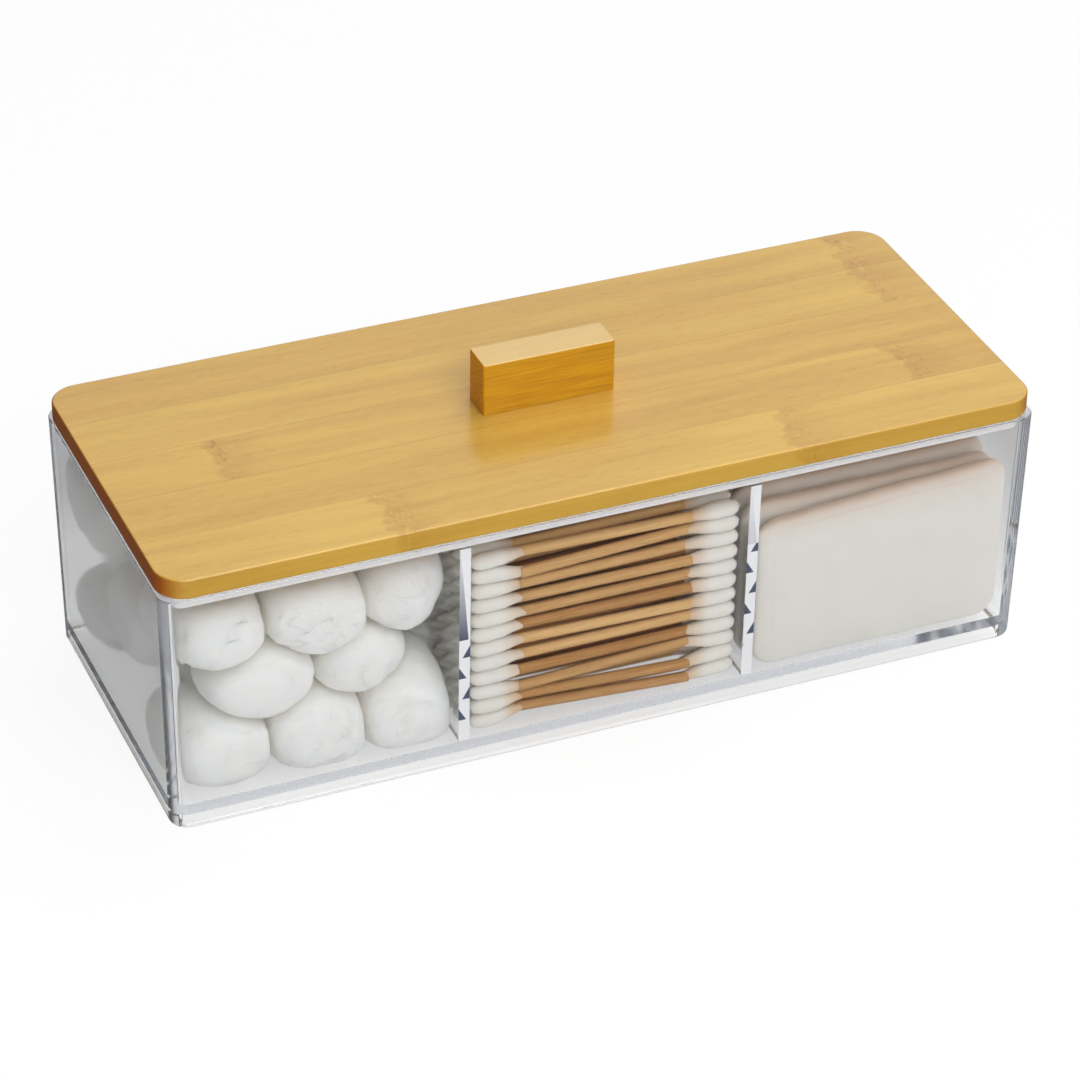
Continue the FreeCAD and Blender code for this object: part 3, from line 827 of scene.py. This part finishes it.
def pad_surface(node, index, rows=30):
    """A pad: one rounded outline drawn in towards its middle on the front, and out again on the back.

    Across the rim it is a super-ellipse, share = sin(a)^(1/5) and depth = cos(a)^(4/5), so that the faces
    stay nearly flat and the rim is round. The pad thins a little towards its rim, its top corners sag by
    amounts of their own, and waves run over it.
    """
    low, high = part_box(node)
    half_x, half_z = (high.x - low.x) / 2, (high.z - low.z) / 2
    outline = rounded_rows(half_x, half_z, pad_corner, 0.0, pad_columns_per_corner)[0]
    extra = []
    for a, b in zip(outline, np.roll(outline, -1, axis=0)):
        steps = max(1, int(np.linalg.norm(b - a) / pad_span))
        extra.append(a + (b - a) * (np.arange(steps) / steps)[:, None])
    outline = np.concatenate(extra)
    a = np.linspace(0, np.pi, rows)
    share = np.abs(np.sin(a)) ** 0.2
    depth = -np.sign(np.cos(a)) * np.abs(np.cos(a)) ** 0.8
    on_rim = share > pad_rim_from
    rings = [0.0, 0.35, 0.65, pad_rim_from]
    share = np.concatenate([rings, share[on_rim], rings[::-1]])
    depth = np.concatenate([[-1] * len(rings), depth[on_rim], [1] * len(rings)])
    x = outline[None, :, 0] * share[:, None]
    z = outline[None, :, 1] * share[:, None]
    y = np.broadcast_to(depth[:, None], x.shape) * (high.y - low.y) / 2
    height = (z / half_z + 1) / 2
    spread = x / half_x
    rng = np.random.default_rng(700 + index)
    drop_left, drop_right = rng.uniform(0, pad_drop_mm, 2) * MM
    if index == 0:
        drop_left, drop_right = front_pad_drops
    drop = (drop_left * (1 - spread) + drop_right * (1 + spread)) / 2
    z = z - drop * height ** 3
    y = y * (1 - 0.10 * (spread ** 4 + (2 * height - 1) ** 4) / 2)
    points = np.stack([x + (low.x + high.x) / 2, y + (low.y + high.y) / 2, z + (low.z + high.z) / 2], -1)
    points[..., 1] += 0.12 * MM * waves(points, 17 * MM, 800 + index)
    points[..., 2] += (0.30 * MM * waves(points, 23 * MM, 850 + index)
                       + 0.18 * MM * waves(points, 6 * MM, 870 + index)) * height
    return points


for index, node in enumerate(pad_nodes):
    grid = pad_surface(node, index)
    pad = add_piece(node + "_soft", grid, ring_quads(*grid.shape[:2]), "box", pad_cotton, 180)
    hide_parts(node)

# ------------------------------------------------------------------ floor and light
# A white floor, two soft boxes in front and one above, and a room that is brighter to the right. What
# shows through the clear plastic darkens away from the box, as if grey cards stood round it.
floor_half, floor_height = 6.0, -0.3 * MM
floor_mesh = bpy.data.meshes.new("floor")
floor_corners = [(x * floor_half, y * floor_half, floor_height)
                 for x, y in ((-1, -1), (1, -1), (1, 1), (-1, 1))]
floor_mesh.from_pydata(floor_corners, [], [(0, 1, 2, 3)])
floor = new_object("floor", floor_mesh)
floor_white, floor_tree = new_material("floor_white")
floor_paint = add(floor_tree, "ShaderNodeBsdfDiffuse", {"Color": (0.80, 0.80, 0.80, 1)})
# what the clear walls reflect of the floor is painted dark: painted shade standing in for the box's shadow
# beside it
floor_mirrored = add(floor_tree, "ShaderNodeBsdfDiffuse", {"Color": (0.12, 0.12, 0.12, 1)})


def lifted_floor(share, dim=None):
    """The lit floor with a share of plain white added, which leaves the shadow on it that much fainter.

    Dim says where it gives way to a dark slate.
    """
    lit = add(floor_tree, "ShaderNodeBsdfDiffuse", {"Color": (1.02 - share, 1.02 - share, 1.02 - share, 1)})
    white = add(floor_tree, "ShaderNodeEmission", {"Color": (1, 1, 1, 1), "Strength": share})
    both = add(floor_tree, "ShaderNodeAddShader", {0: lit.outputs[0], 1: white.outputs[0]})
    if dim is None:
        return both.outputs[0]
    dark = add(floor_tree, "ShaderNodeEmission", {"Color": (0.07, 0.075, 0.09, 1), "Strength": 1.0})
    return add(floor_tree, "ShaderNodeMixShader", {0: dim, 1: both.outputs[0], 2: dark.outputs[0]}).outputs[0]


floor_path = add(floor_tree, "ShaderNodeLightPath")
floor_spot = add(floor_tree, "ShaderNodeTexCoord").outputs["Object"]
from_box = add(floor_tree, "ShaderNodeVectorMath", {0: floor_spot}, operation="LENGTH").outputs["Value"]
floor_place = add(floor_tree, "ShaderNodeSeparateXYZ", {0: floor_spot}).outputs
far_out = ramp(floor_tree, from_box, 0.17, 0.42, 0.0, 0.92)
# the cards: the way they lie, where the floor starts and ends to darken, and how far
for side, near, far, share in (("X", 0.125, 0.165, 0.45), ("Y", 0.09, 0.12, 0.4), ("X", -0.124, -0.135, 0.2),
                               ("Y", -0.053, -0.062, 0.9)):
    far_out = calc(floor_tree, "MAXIMUM", far_out, ramp(floor_tree, floor_place[side], near, far, 0.0, share))
floor_layers = floor_paint.outputs[0]
for ray, look in (("Is Glossy Ray", floor_mirrored.outputs[0]),
                  ("Is Transmission Ray", lifted_floor(0.6, far_out)), ("Is Camera Ray", lifted_floor(0.88))):
    floor_layers = add(floor_tree, "ShaderNodeMixShader", {
        0: floor_path.outputs[ray], 1: floor_layers, 2: look}).outputs[0]
add(floor_tree, "ShaderNodeOutputMaterial", {"Surface": floor_layers})
floor.data.materials.append(floor_white)


def area_lamp(name, place, target, size, power):
    """A square soft box at a place, facing the target; size in metres, power in watts."""
    lamp = bpy.data.lights.new(name, "AREA")
    lamp.size = size
    lamp.energy = power
    holder = new_object(name, lamp)
    holder.location = place
    holder.rotation_euler = (Vector(target) - Vector(place)).to_track_quat("-Z", "Y").to_euler()


area_lamp("key_front", (0.12, -0.95, 1.18), (0, 0, 0.04), 0.9, 7.5)
area_lamp("fill_front", (-0.20, -1.15, 0.60), (0, 0, 0.03), 1.0, 7.0)
area_lamp("fill_above", (0.45, 0.25, 1.35), (0, 0, 0.05), 0.8, 5.0)

studio = bpy.data.worlds.new("studio")
bpy.context.scene.world = studio
studio.use_nodes = True
room = studio.node_tree
room.nodes.clear()


def room_white(strength):
    return add(room, "ShaderNodeBackground", {"Color": (1, 1, 1, 1), "Strength": strength}).outputs[0]


toward = add(room, "ShaderNodeSeparateXYZ", {0: add(room, "ShaderNodeTexCoord").outputs["Generated"]}).outputs
from_right = ramp(room, toward["X"], -0.6, 0.6, 0.12, 0.50)
overhead = ramp(room, toward["Z"], 0.10, 0.45, 0.06, 1.15)
not_left = ramp(room, toward["X"], -0.7, -0.1, 0.15, 1.0)
room_path = add(room, "ShaderNodeLightPath").outputs
mirrored_or_clear = calc(room, "MAXIMUM", room_path["Is Glossy Ray"], room_path["Is Transmission Ray"])
room_seen = room_white(calc(room, "MULTIPLY", overhead, not_left))
room_inner = add(room, "ShaderNodeMixShader", {0: mirrored_or_clear, 1: room_white(from_right), 2: room_seen})
room_mix = add(room, "ShaderNodeMixShader", {
    0: room_path["Is Camera Ray"], 1: room_inner.outputs[0], 2: room_white(1.0)})
add(room, "ShaderNodeOutputWorld", {"Surface": room_mix.outputs[0]})

# ------------------------------------------------------------------ camera
# A long lens to the left of the front, looking down at the lid from a little over a metre away. It is
# turned by less than a degree about its own line of sight.
camera_azimuth = np.radians(-23.07)
camera_elevation = np.radians(33.49)
camera_roll = np.radians(0.876)
camera_distance = 1.11635
camera_target = Vector((0.774, 1.619, 28.884)) * MM
camera_lens = 139.73
back = Vector((np.sin(camera_azimuth) * np.cos(camera_elevation),
               -np.cos(camera_azimuth) * np.cos(camera_elevation), np.sin(camera_elevation)))
level = (-back).cross(Vector((0, 0, 1))).normalized()
upward = level.cross(-back)
right = level * np.cos(camera_roll) + upward * np.sin(camera_roll)
up = upward * np.cos(camera_roll) - level * np.sin(camera_roll)
camera = new_object("camera", bpy.data.cameras.new("camera"))
camera.data.lens = camera_lens
camera.data.sensor_width = 36.0
pose = Matrix((right, up, back)).transposed().to_4x4()
pose.translation = camera_target + back * camera_distance
camera.matrix_world = pose
bpy.context.scene.camera = camera

bpy.context.scene.view_settings.view_transform = "Standard"
# enough bounces for light to run along inside the clear walls and to come back out of the cotton
light_paths = bpy.context.scene.cycles
light_paths.diffuse_bounces = 12
light_paths.transmission_bounces = 40
light_paths.max_bounces = 64
light_paths.glossy_bounces = 48
light_paths.transparent_max_bounces = 24
